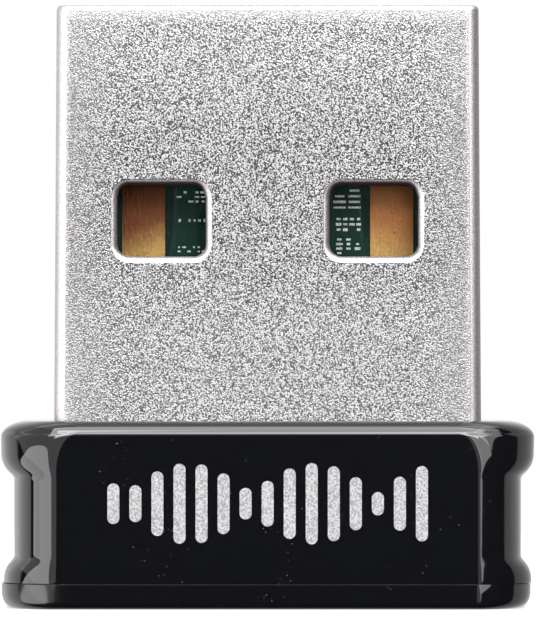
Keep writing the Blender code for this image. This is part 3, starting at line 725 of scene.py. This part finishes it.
def seam_blade():
    """The slit at the back, where the sheet's ends meet in two dovetails."""
    reach = DOVETAIL_REACH
    path = [Vector((0, ROOT_Z - MM))]
    for drop in DOVETAIL_DROPS:
        z = TIP_Z - drop
        path += [Vector((0, z - DOVETAIL_ROOT)), Vector((reach, z - DOVETAIL_HEAD))]
        path += [Vector((reach, z + DOVETAIL_HEAD)), Vector((0, z + DOVETAIL_ROOT))]
        reach = -reach
    path.append(Vector((0, TIP_Z + MM)))
    outline = strip_outline(path, SEAM_GAP)
    inside, outside = PLUG_DEPTH / 2 - 2 * SHEET, PLUG_DEPTH / 2 + SHEET
    return piece("seam_blade", skin([upright(outline, inside, 0, 0), upright(outline, outside, 0, 0)]))


def solder_tab(side):
    """A tongue of sheet that goes down from a side wall to the board."""
    wall = PLUG_WIDTH / 2 + PLUG_FLARE / 2
    left, right = sorted((side * (wall - SHEET), side * wall))
    low = (left, TAB_Y - TAB_HALF_WIDTH, plug_low.z)
    return piece("solder_tab", block(low, (right, TAB_Y + TAB_HALF_WIDTH, ROOT_Z + SHEET)))


shell = piece("shell_sheet", skin(shell_rings(), joined=True), steel)
tools = [window_punch(x, side) for side in (-1, 1) for x in (-WINDOW_PITCH / 2, WINDOW_PITCH / 2)]
tools.append(seam_blade())
for tool in tools:
    cut(shell, tool)
tabs = [solder_tab(-1), solder_tab(1)]
for tab in tabs:
    cut(shell, tab, "UNION")
settle(shell, tools + tabs)
hand_over(shell, "plated_steel", "metal_shell")

# %% [markdown]
# ## Silver ink on the front panel
#
# The panel carries a plain printed motif: a row of upright rounded bars whose heights rise and fall
# like a wave. The ink is a silver screen print, a hundredth of a millimetre thick, so it has a real
# edge. What repeats is made by Geometry Nodes. A line of points carries one disc each. Half of each
# disc moves up and half moves down by an amount that depends on its place along the row, which
# turns a disc into a bar with round ends.


# %% A helper for Geometry Nodes trees
class Pattern(Graph):
    """A Geometry Nodes tree with named inputs, run once to make a plain mesh."""

    def __init__(self, name, sizes):
        tree = bpy.data.node_groups.new(name, "GeometryNodeTree")
        super().__init__(tree)
        self.sizes = sizes
        for label, value in sizes.items():
            kind = "NodeSocketInt" if isinstance(value, int) else "NodeSocketFloat"
            tree.interface.new_socket(label, in_out="INPUT", socket_type=kind)
        tree.interface.new_socket("Geometry", in_out="OUTPUT", socket_type="NodeSocketGeometry")
        self.entry = tree.nodes.new("NodeGroupInput")
        self.exit = tree.nodes.new("NodeGroupOutput")

    def size(self, label):
        return Link(self, self.entry.outputs[label])

    def vector(self, x=0.0, y=0.0, z=0.0):
        return self.node("ShaderNodeCombineXYZ", inputs={"X": x, "Y": y, "Z": z})

    def place(self, name):
        """One coordinate of each point."""
        return self.part(self.node("GeometryNodeInputPosition"), name)

    def random(self, low, high, seed):
        """A random number for each point, with a fixed seed."""
        inputs = {2: low, 3: high, "Seed": seed}
        return self.node("FunctionNodeRandomValue", {"data_type": "FLOAT"}, inputs, output=1)

    def at_points(self, points, shape, scale=None):
        """A copy of a shape at each point."""
        inputs = {"Points": points, "Instance": shape}
        if scale:
            inputs["Scale"] = scale
        return self.node("GeometryNodeInstanceOnPoints", inputs=inputs)

    def moved(self, geometry, offset):
        return self.node("GeometryNodeSetPosition", inputs={"Geometry": geometry, "Offset": offset})

    def noted(self, geometry, name, value):
        """Stores a number on each point under a name, to be read back later."""
        settings = {"data_type": "FLOAT", "domain": "POINT"}
        inputs = {"Geometry": geometry, "Name": name, "Value": value}
        return self.node("GeometryNodeStoreNamedAttribute", settings, inputs)

    def note(self, name):
        return self.node("GeometryNodeInputNamedAttribute", {"data_type": "FLOAT"}, {"Name": name})

    def run(self, name, geometry, finish):
        """Ends the tree, runs it on an empty mesh and returns the result as a finished object."""
        solid = self.node("GeometryNodeRealizeInstances", inputs={"Geometry": geometry})
        inputs = {"Geometry": solid, "Material": finish.material}
        painted = self.node("GeometryNodeSetMaterial", inputs=inputs)
        self.feed(self.exit.inputs["Geometry"], painted)
        made = bpy.data.objects.new(name, bpy.data.meshes.new(name))
        modifier = made.modifiers.new(name, "NODES")
        modifier.node_group = self.tree
        for item in self.tree.interface.items_tree:
            if item.in_out == "INPUT":
                modifier[item.identifier] = self.sizes[item.name]
        bpy.context.scene.collection.objects.link(made)
        made.data = with_modifiers(made)
        made.modifiers.clear()
        bm = bmesh.new()
        bm.from_mesh(made.data)
        bmesh.ops.remove_doubles(bm, verts=bm.verts[:], dist=0.0005 * MM)
        bmesh.ops.recalc_face_normals(bm, faces=bm.faces[:])
        bm.to_mesh(made.data)
        bm.free()
        print(f"{name}: {len(made.data.polygons)} faces")
        return made


print("pattern helper ready")


# %% The ink and the row of bars
def silver_ink():
    """Grey ink full of fine flakes, so it is mottled, and no two spots of it shine alike."""
    finish = Finish("silver_ink", metallic=0.15)
    flakes = finish.noise(24000.0, detail=1.5).over(0.5, 0.12)
    finish.set("Base Color", finish.mix(flakes, (0.088, 0.088, 0.091), (0.198, 0.198, 0.201)))
    finish.set("Roughness", 0.66 - 0.16 * flakes)
    finish.relief(flakes, 0.002 * MM)
    return finish


def bar_row():
    """A row of bars. Each bar is a disc whose upper and lower halves are moved apart."""
    sizes = {
        "Count": 15,
        "Pitch": 0.62 * MM,
        "Bar Width": 0.34 * MM,
        "Shortest": 0.30 * MM,
        "Tallest": 1.95 * MM,
        "Wave Step": 0.55,
        "Wave Start": 0.4,
        "Ink": 0.012 * MM,
        "Height": SEAM_Z + 2.28 * MM,
    }
    tree = Pattern("bar_row", sizes)
    pitch, ink = tree.size("Pitch"), tree.size("Ink")
    start = -0.5 * pitch * (tree.size("Count") - 1)
    front = -HOUSING_DEPTH / 2
    inputs = {
        "Count": tree.size("Count"),
        "Start Location": tree.vector(start, front, tree.size("Height")),
        "Offset": tree.vector(pitch),
    }
    line = tree.node("GeometryNodeMeshLine", {"mode": "OFFSET"}, inputs)
    disc_points = 36
    half_step = math.pi / disc_points  # so that no point lies between the two halves
    inputs = {"Vertices": disc_points, "Radius": 0.5 * tree.size("Bar Width")}
    disc = tree.node("GeometryNodeMeshCircle", {"fill_type": "NGON"}, inputs)
    inputs = {"Geometry": disc, "Rotation": (math.pi / 2, half_step, 0.0)}
    disc = tree.node("GeometryNodeTransform", inputs=inputs)
    disc = tree.noted(disc, "half", tree.maths("SIGN", tree.place("Z")))
    turn = tree.size("Wave Step") * (tree.place("X") / pitch) + tree.size("Wave Start")
    swing = abs(tree.maths("SINE", turn))
    reach = tree.size("Shortest") + (tree.size("Tallest") - tree.size("Shortest")) * swing
    bars = tree.at_points(tree.noted(line, "reach", reach), disc)
    bars = tree.node("GeometryNodeRealizeInstances", inputs={"Geometry": bars})
    stretch = 0.5 * tree.note("reach") * tree.note("half")
    bars = tree.moved(bars, tree.vector(0.0, 0.0, stretch))
    inputs = {"Mesh": bars, "Offset": tree.vector(0.0, -1.0, 0.0), "Offset Scale": ink}
    raised = tree.node("GeometryNodeExtrudeMesh", {"mode": "FACES"}, inputs)
    back = tree.node("GeometryNodeFlipFaces", inputs={"Mesh": bars})
    joined = tree.node("GeometryNodeJoinGeometry", inputs={"Geometry": raised})
    tree.tree.links.new(back.socket, joined.socket.node.inputs["Geometry"])
    return tree.run("panel_print", joined, silver_ink())


panel_print = bar_row()
hand_over(panel_print, "gloss_black_plastic")

# %% [markdown]
# ## The board behind the windows
#
# Through the windows the eye sees a strip of gold contact on dark green solder mask, with small
# grey screen-printed marks beside it. The mask is a thin glossy lacquer over copper tracks, so it
# is a little lighter and higher where a track runs below it. The contacts are gold over nickel:
# rolled copper leaves faint lines along them, and use leaves fine scratches. Their upper ends are
# painted darker, down to a line that sinks and rises: painted shade where the window's upper edge
# shades them, darker in the left window. Stretched noise makes the lines and the tracks, because a
# Mapping node can draw a lump out along one axis.

# %% Solder mask and gold
MASK_COLOURS = ((0.0025, 0.014, 0.010), (0.0045, 0.022, 0.015), (0.006, 0.026, 0.019))
DARK_GOLD = (0.255, 0.155, 0.053)
BRIGHT_GOLD = (0.315, 0.203, 0.072)
# painted shade on the contacts' upper ends, where the window's edge shades them; darker on the left
LEFT_WINDOW_SHADE = (0.094, 0.035, 0.017)
RIGHT_WINDOW_SHADE = (0.2, 0.085, 0.033)
SPOT = (0.12, 0.05, 0.02)
OUTER_CONTACT_X = 3.5 * MM
# the line of painted shade slopes across each window and wanders
WINDOW_SHADE_SLOPE = 0.3
WINDOW_SHADE_WANDER = 0.5 * MM


def solder_mask(name, shade):
    """Green lacquer. Shade brightens it where copper lies below all of it."""
    finish = Finish(name)
    weave = finish.noise(1.0, detail=2.0, place=finish.stretched(9000.0, 9000.0, 2500.0))
    wander = finish.stretched(1500.0, 1500.0, 260.0)
    tracks = finish.noise(1.0, detail=0.0, place=wander).over(0.53, 0.05)
    deep, pale, flecked = ([channel * shade for channel in colour] for colour in MASK_COLOURS)
    colour = finish.mix(tracks, deep, pale)
    finish.set("Base Color", finish.mix(weave.over(0.62, 0.1), colour, flecked))
    finish.set("Roughness", 0.12 + 0.08 * weave)
    finish.set("Specular IOR Level", 0.25)
    finish.relief(tracks + 0.5 * weave, 0.003 * MM)
    return finish


def contact_gold():
    """Worn gold plating, with painted shade towards its upper end."""
    finish = Finish("gold_plating", metallic=1.0)
    rolled = finish.noise(1.0, detail=3.0, place=finish.stretched(16000.0, 16000.0, 3000.0))
    grain = finish.noise(11000.0, detail=2.0).over(0.5, 0.14)
    spots = finish.noise(5200.0, detail=2.0).over(0.7, 0.03)
    # this noise only makes the line of painted shade wander
    wear = finish.noise(1400.0, detail=4.0)
    across = finish.axis("X")
    height = finish.axis("Z") + WINDOW_SHADE_SLOPE * (abs(across) - OUTER_CONTACT_X)
    height = height + WINDOW_SHADE_WANDER * (wear - 0.5)
    # painted shade over the upper end of each contact
    window_shade = (height - WINDOW_Z).over(-0.55 * MM, 0.6 * MM)
    bright = finish.mix(grain, DARK_GOLD, BRIGHT_GOLD)
    shaded_gold = finish.mix(across.over(0.0, MM), LEFT_WINDOW_SHADE, RIGHT_WINDOW_SHADE)
    colour = finish.mix(window_shade, bright, shaded_gold)
    finish.set("Base Color", finish.mix(0.5 * spots, colour, SPOT))
    finish.set("Roughness", 0.26 + 0.14 * rolled + 0.1 * spots)
    finish.relief(rolled + 0.4 * spots, 0.006 * MM)
    return finish


paint("circuit_board", solder_mask("green_board", 1.0))
paint("trace_antenna", solder_mask("masked_copper", 2.2))
gold = contact_gold()
for name in ("contact_supply", "contact_data_minus", "contact_data_plus", "contact_ground"):
    paint(name, gold)
print("board and contacts painted")

# %% [markdown]
# ## Marks on the board
#
# A board carries small screen-printed marks, less than half a millimetre high. At this size they
# are rows of small light blots. Each field of marks is a grid of points. A random number takes some
# points away, two more stretch each mark, and their seed is fixed, so that every run prints the
# same board.


# %% Marks on the board
def board_ink():
    """Thin light ink that lets the green through where it is worn."""
    finish = Finish("board_ink")
    wear = finish.noise(30000.0, detail=1.0)
    worn_off, full = (0.16, 0.19, 0.18), (0.42, 0.45, 0.44)
    finish.set("Base Color", finish.mix(wear.over(0.45, 0.1), worn_off, full))
    finish.set("Roughness", 0.5 + 0.2 * wear)
    return finish


def mark_field(name, finish, corner, columns, rows, pitch, mark, share, seed):
    """A field of small flat marks, of random widths, with a share of them left in."""
    sizes = {
        "Columns": columns,
        "Rows": rows,
        "Column Pitch": pitch[0],
        "Row Pitch": pitch[1],
        "Mark Width": mark[0],
        "Mark Height": mark[1],
        "Ink": 0.01 * MM,
        "Share": share,
        "Seed": seed,
    }
    tree = Pattern(name, sizes)
    width = tree.size("Column Pitch") * (tree.size("Columns") - 1)
    height = tree.size("Row Pitch") * (tree.size("Rows") - 1)
    inputs = {
        "Size X": width,
        "Size Y": height,
        "Vertices X": tree.size("Columns"),
        "Vertices Y": tree.size("Rows"),
    }
    grid = tree.node("GeometryNodeMeshGrid", inputs=inputs)
    inputs = {"Geometry": grid, "Rotation": (math.pi / 2, 0.0, 0.0)}
    grid = tree.node("GeometryNodeTransform", inputs=inputs)
    surface = board_low.y - 0.5 * tree.size("Ink")
    grid = tree.moved(grid, tree.vector(corner[0] + 0.5 * width, surface, corner[1] + 0.5 * height))
    drawn = tree.random(0.0, 1.0, tree.size("Seed"))
    gone = tree.maths("GREATER_THAN", drawn, tree.size("Share"))
    inputs = {"Geometry": grid, "Selection": gone}
    grid = tree.node("GeometryNodeDeleteGeometry", {"domain": "POINT"}, inputs)
    size = tree.vector(tree.size("Mark Width"), tree.size("Ink"), tree.size("Mark Height"))
    mark_shape = tree.node("GeometryNodeMeshCube", inputs={"Size": size})
    wider, taller = tree.random(0.55, 1.25, seed + 1), tree.random(0.7, 1.1, seed + 2)
    stretch = tree.vector(wider, 1.0, taller)
    return tree.run(name, tree.at_points(grid, mark_shape, stretch), finish)


board_print = board_ink()
# Name, lower left corner, columns, rows, pitch, size of a mark, share of marks kept and seed.
# Corners, pitches and sizes are in millimetres, across and up.
fields = (
    ("marks_upper_left", (-2.52, 11.52), 5, 3, (0.17, 0.13), (0.13, 0.06), 0.8, 3),
    ("marks_middle_left", (-2.50, 10.98), 6, 1, (0.14, 0.10), (0.07, 0.09), 0.95, 5),
    ("marks_lower_left", (-2.52, 10.10), 6, 2, (0.14, 0.12), (0.09, 0.05), 0.8, 8),
    ("marks_upper_right", (2.05, 11.35), 2, 4, (0.42, 0.16), (0.30, 0.07), 0.85, 13),
    ("marks_middle_right", (2.02, 10.72), 4, 3, (0.19, 0.15), (0.14, 0.08), 0.85, 21),
    ("marks_lower_right", (2.04, 10.05), 3, 4, (0.26, 0.13), (0.16, 0.07), 0.8, 34),
)
for name, corner, columns, rows, pitch, mark, share, seed in fields:
    corner, pitch, mark = ([value * MM for value in pair] for pair in (corner, pitch, mark))
    made = mark_field(name, board_print, corner, columns, rows, pitch, mark, share, seed)
    hand_over(made, "green_board")

# %% [markdown]
# ## The pieces inside
#
# The carrier is an off-white moulding, the chips are black resin, tan ceramic or dark ferrite, and
# the ends of the small chips are tinned. They are seen only through the mouth and the back windows,
# but each still gets its own finish. A chip's ends and its body are one piece of mesh, so a mask on
# the coordinate along the chip tells the tinned ends from the ceramic.

# %% Moulded, sintered and tinned finishes
TIN = (0.72, 0.73, 0.74)
TIN_ROUGHNESS = 0.3


def carrier_plastic():
    """Off-white plastic with faint flow marks."""
    finish = Finish("carrier_plastic")
    flow = finish.noise(600.0, detail=3.0)
    finish.set("Base Color", finish.mix(flow, (0.30, 0.295, 0.275), (0.38, 0.375, 0.35)))
    finish.set("Roughness", 0.42 + 0.14 * finish.noise(5000.0))
    finish.relief(finish.noise(14000.0), 0.004 * MM)
    return finish


def bright_solder():
    """Solder that set bright, with some frost where it cooled last."""
    finish = Finish("solder", metallic=1.0)
    frost = finish.noise(4200.0, detail=3.0)
    finish.set("Base Color", finish.mix(frost, (0.55, 0.56, 0.57), (0.78, 0.79, 0.80)))
    finish.set("Roughness", 0.18 + 0.3 * frost)
    finish.relief(frost, 0.01 * MM)
    return finish


def two_metal_chip(name, body, body_roughness, mask_of):
    """A chip of one colour whose tinned ends or leads are told apart by a mask."""
    finish = Finish(name)
    speckle = finish.noise(12000.0, detail=2.0)
    tinned = mask_of(finish)
    darker = [c * 0.7 for c in body]
    moulded = finish.mix(speckle, darker, body)
    finish.set("Base Color", finish.mix(tinned, moulded, TIN))
    finish.set("Metallic", tinned)
    change = body_roughness - TIN_ROUGHNESS
    finish.set("Roughness", body_roughness - change * tinned + 0.08 * speckle)
    finish.relief(speckle, 0.004 * MM)
    return finish


# %% Masks that tell the metal of a chip from its body
END_LENGTH = 0.22 * MM
LEAD_LENGTH = 0.06 * MM
BASE_SHARE = 0.4  # of the crystal's height


def end_mask(name):
    """A mask for the two ends of a small chip, along its longer side."""
    low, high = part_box(name)
    size = high - low
    along = "X" if size.x > size.z else "Z"
    middle = (low.x + high.x) / 2 if along == "X" else (low.z + high.z) / 2
    limit = max(size.x, size.z) / 2 - END_LENGTH
    return lambda finish: abs(finish.axis(along) - middle).over(limit, 0.01 * MM)


def lead_mask(finish):
    """A mask for the leads round the radio chip's base."""
    low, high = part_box("radio_chip")
    across = abs(finish.axis("X") - (low.x + high.x) / 2)
    upward = abs(finish.axis("Z") - (low.z + high.z) / 2)
    edge = (high.x - low.x) / 2 - LEAD_LENGTH
    return finish.maths("MAXIMUM", across, upward).over(edge, 0.006 * MM)


def lid_mask(finish):
    """A mask for the crystal's metal lid, which stands above its ceramic base."""
    low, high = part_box("crystal")
    return finish.axis("Y").over(low.y + (high.y - low.y) * BASE_SHARE, 0.01 * MM)


print(f"tinned ends {END_LENGTH / MM:.2f} mm long")

# %% Paint the inner pieces
TAN = (0.42, 0.30, 0.18)
DARK = (0.07, 0.07, 0.075)
BLACK = (0.018, 0.018, 0.02)
CRYSTAL_BASE = (0.20, 0.17, 0.15)
paint("board_carrier", carrier_plastic())
solder = bright_solder()
paint("shell_solder_left", solder)
paint("shell_solder_right", solder)
chips = {"supply_capacitor": TAN, "ferrite_bead": DARK, "matching_inductor": DARK}
chips.update({f"capacitor_{i}": TAN for i in range(1, 7)})
chips.update({f"resistor_{i}": BLACK for i in (1, 2)})
for name, colour in chips.items():
    paint(name, two_metal_chip(f"{name}_finish", colour, 0.5, end_mask(name)))
paint("radio_chip", two_metal_chip("black_resin", BLACK, 0.55, lead_mask))
paint("crystal", two_metal_chip("nickel_lid", CRYSTAL_BASE, 0.5, lid_mask))
print(f"{len(chips) + 5} inner pieces painted")

# %% [markdown]
# ## The floor
#
# The adapter stands on a pale floor that runs out into white. A floor that is only lit would look
# grey, and one that only glows would lose the shadow. So the shader mixes the two: six tenths of
# what the camera sees is an even white, and the rest is a matt surface that keeps the shadow.

# %% The floor
FLOOR_RADIUS = 0.1
FLOOR_Z = -0.005 * MM


def white_floor():
    """A pale floor. The camera sees it lifted to white, and still darker under the object."""
    made = Finish("white_floor", roughness=0.9)
    made.set("Base Color", (0.82, 0.82, 0.82, 1.0))
    camera = made.node("ShaderNodeLightPath", output="Is Camera Ray")
    glow = made.node("ShaderNodeEmission", inputs={"Strength": 1.0})
    surface = Link(made, made.shader.outputs[0])
    mixed = made.node("ShaderNodeMixShader", inputs={0: 0.6 * camera, 1: surface, 2: glow})
    made.feed(made.tree.nodes["Material Output"].inputs["Surface"], mixed)
    return made


bm = bmesh.new()
bmesh.ops.create_circle(bm, cap_ends=True, segments=96, radius=FLOOR_RADIUS)
bmesh.ops.translate(bm, verts=bm.verts[:], vec=(0, 0, FLOOR_Z))
floor = piece("floor", bm, white_floor())
floor.visible_glossy = False  # so the gloss shows the room and its soft boxes down to the horizon
print("floor laid")

# %% [markdown]
# ## The room
#
# Gloss black and satin metal show the room, so the room is what gives them their form. Behind the
# adapter and beside it everything is white, which draws the pale bands down its ends. In front of
# it, where the camera stands, the room is dark, and that is what makes the front panel black. The
# world's shader tells the two apart by direction.

# %% The room
DIM = 0.008  # brightness of the room in front


def studio_room():
    """White behind and beside the object, dark in front of it. The camera always sees white."""
    world = bpy.data.worlds.new("studio_room")
    world.use_nodes = True
    bpy.context.scene.world = world
    room = Graph(world.node_tree)
    direction = room.node("ShaderNodeTexCoord", output="Generated")
    right, behind = (room.part(direction, axis) for axis in "XY")
    wall = behind.over(0.22, 0.06) * (1.0 - 0.3 * right.over(0.3, 0.3))
    strength = DIM + (1.0 - DIM) * wall
    camera = room.node("ShaderNodeLightPath", output="Is Camera Ray")
    background = world.node_tree.nodes["Background"]
    background.inputs["Color"].default_value = (1.0, 1.0, 1.0, 1.0)
    room.feed(background.inputs["Strength"], room.maths("MAXIMUM", strength, camera))


studio_room()
print("room lit")

# %% [markdown]
# ## The soft boxes
#
# Into the dark half of the room go soft boxes: strong and wide ones above the camera, a round one
# low on the left, and dimmer ones rising to the right. Some are rolled, and so a reflection's edge
# runs aslant, as in the photo. Area lights stand for them. An area light's brightness is its power
# over its area and pi, so the power is worked out from the brightness that is wanted. A box's turn
# is to the right of the camera, its rise is above the horizon, and its roll is about its own axis.

# %% The soft boxes
BOX_DISTANCE = 0.3
BOX_TARGET = Vector((0, 0, 9 * MM))


def soft_box(name, turn, rise, wide, tall, brightness, roll=0.0, shape="RECTANGLE"):
    """An area light, placed and sized by angles seen from the adapter, in degrees."""
    light = bpy.data.lights.new(name, "AREA")
    light.shape = shape
    light.size = 2 * BOX_DISTANCE * math.tan(math.radians(wide / 2))
    light.size_y = 2 * BOX_DISTANCE * math.tan(math.radians(tall / 2))
    area = light.size * light.size_y * (math.pi / 4 if shape == "ELLIPSE" else 1.0)
    light.energy = brightness * math.pi * area
    lamp = bpy.data.objects.new(name, light)
    turn, rise = math.radians(turn), math.radians(rise)
    away = Vector((math.sin(turn) * math.cos(rise), -math.cos(turn) * math.cos(rise), math.sin(rise)))
    lamp.location = BOX_TARGET + BOX_DISTANCE * away
    rolled = Quaternion((0, 0, 1), math.radians(roll))
    lamp.rotation_euler = (away.to_track_quat("Z", "Y") @ rolled).to_euler()
    lamp.visible_camera = False
    bpy.context.scene.collection.objects.link(lamp)
    print(f"{name}: {light.energy:.2f} W")


soft_box("key_box", -2, 22, 46, 15, 10.8, roll=-6)
soft_box("key_wing", -18, 36, 26, 15, 10.0)
soft_box("upper_box", 1, 49, 67, 38, 7.2, roll=-16)
soft_box("top_box", 0, 90, 64, 60, 1.6)
soft_box("left_box", -61, -12, 76, 46, 4.4, roll=10, shape="ELLIPSE")
soft_box("left_upper_box", -54, 23, 106, 60, 1.1, roll=-24)
soft_box("left_back_box", -129, -6, 50, 70, 0.4, shape="ELLIPSE")
soft_box("right_strip_box", 8, -4, 9, 24, 0.9)
soft_box("right_box", 20, 16.6, 29, 34, 4.0, roll=17)
soft_box("right_upper_box", 47, 34, 51, 26, 2.9, roll=50)
soft_box("right_top_box", 61, 64, 45, 38, 2.5, roll=-15)

# %% [markdown]
# ## The camera
#
# The camera looks straight at the front from 300 mm away. The lens follows from the scale: so many
# pixels to a millimetre at the plug's front face give the height that the picture takes in.

# %% The camera
FRAME_HEIGHT = 617  # pixels
PIXELS_PER_MM = 35.4
CAMERA_DISTANCE = 300 * MM
CAMERA_X = 0.01 * MM
HORIZON_Z = TIP_Z - 8.57 * MM
camera_data = bpy.data.cameras.new("camera")
camera_data.sensor_width = 36.0
camera_data.lens = camera_data.sensor_width * CAMERA_DISTANCE / (FRAME_HEIGHT / PIXELS_PER_MM * MM)
camera_data.clip_start = 10 * MM
camera_data.clip_end = 10.0
camera = bpy.data.objects.new("camera", camera_data)
camera.location = (CAMERA_X, -PLUG_DEPTH / 2 - CAMERA_DISTANCE, HORIZON_Z)
camera.rotation_euler = (math.pi / 2, 0, 0)
bpy.context.scene.collection.objects.link(camera)
bpy.context.scene.camera = camera
bpy.context.scene.view_settings.view_transform = "Standard"
print(f"lens {camera_data.lens:.0f} mm")
